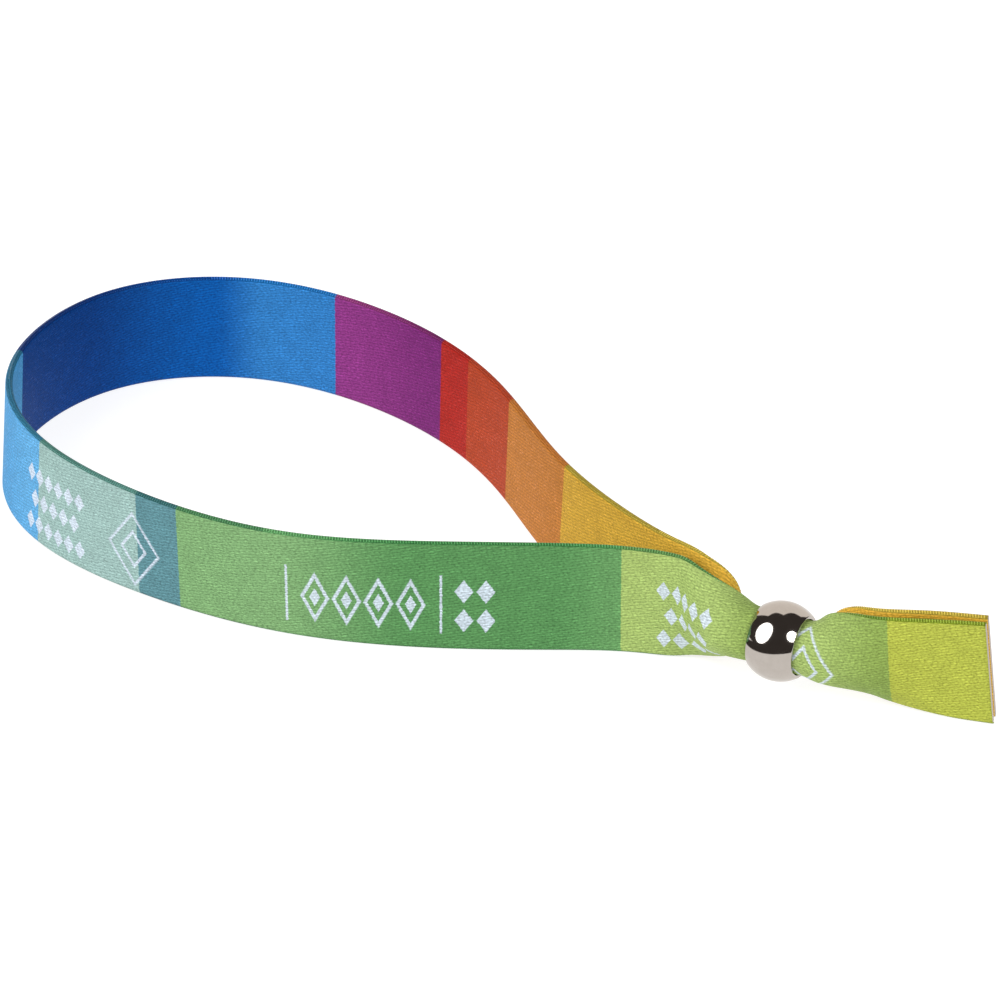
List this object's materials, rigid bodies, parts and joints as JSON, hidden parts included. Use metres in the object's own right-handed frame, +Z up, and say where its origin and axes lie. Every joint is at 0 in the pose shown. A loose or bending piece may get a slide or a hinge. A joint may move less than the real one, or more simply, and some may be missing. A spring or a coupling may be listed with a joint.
{
  "type": "event wristband",
  "caption": "Woven ribbon wristband standing on edge: a teardrop loop drawn together through a small polished metal bead, with a short double tail.",
  "frame": {"origin": "middle of the bottom of the whole wristband's box, on the table that the ribbon's lower edge stands on", "axes": "+X from the far end of the wrist loop, past the bead, to the cut ends of the tail; +Y across the loop; +Z up, along the ribbon's width"},
  "size_m": [0.149, 0.0626, 0.0152],
  "materials": {
    "ribbon": "satin",
    "metal": "polished"
  },
  "bodies": {
    "root": {"strap": "ribbon", "bead": "metal"}
  },
  "joints": []
}
